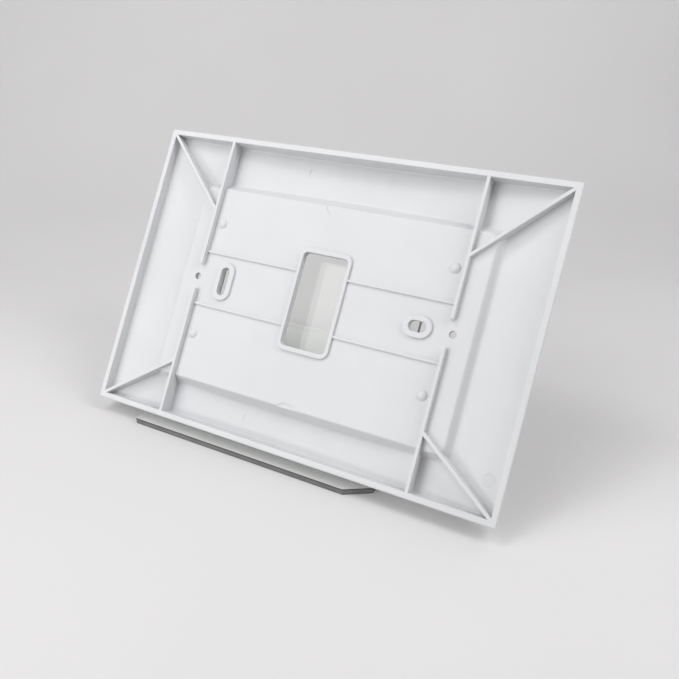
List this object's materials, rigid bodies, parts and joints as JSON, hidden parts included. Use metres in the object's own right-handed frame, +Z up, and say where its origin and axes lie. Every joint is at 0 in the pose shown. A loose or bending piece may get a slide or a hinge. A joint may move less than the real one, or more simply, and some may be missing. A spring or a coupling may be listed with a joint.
{
  "type": "wall trim plate",
  "caption": "White moulded rectangular trim plate, ribbed on its wall side, with a cable opening and screw slots, leaning on a clear acrylic easel.",
  "frame": {"origin": "underside of the easel's base, straight below the middle of the plate's wall plane", "axes": "+X along the plate's long side, +Z up, -Y towards the side that the plate's ribbed wall side faces"},
  "size_m": [0.1708, 0.103, 0.1038],
  "materials": {
    "moulding": "satin, finely textured moulding",
    "acrylic": "clear cast sheet with polished edges"
  },
  "bodies": {
    "easel": {"easel_base": "acrylic", "easel_back": "acrylic", "easel_gusset_left": "acrylic", "easel_gusset_right": "acrylic"},
    "plate": {"trim_plate": "moulding"}
  },
  "joints": [
    {"name": "plate_lift_off", "type": "slide", "parent": "easel", "child": "plate", "axis": [0, 0, 1], "range_m": [0, 0.12]}
  ]
}
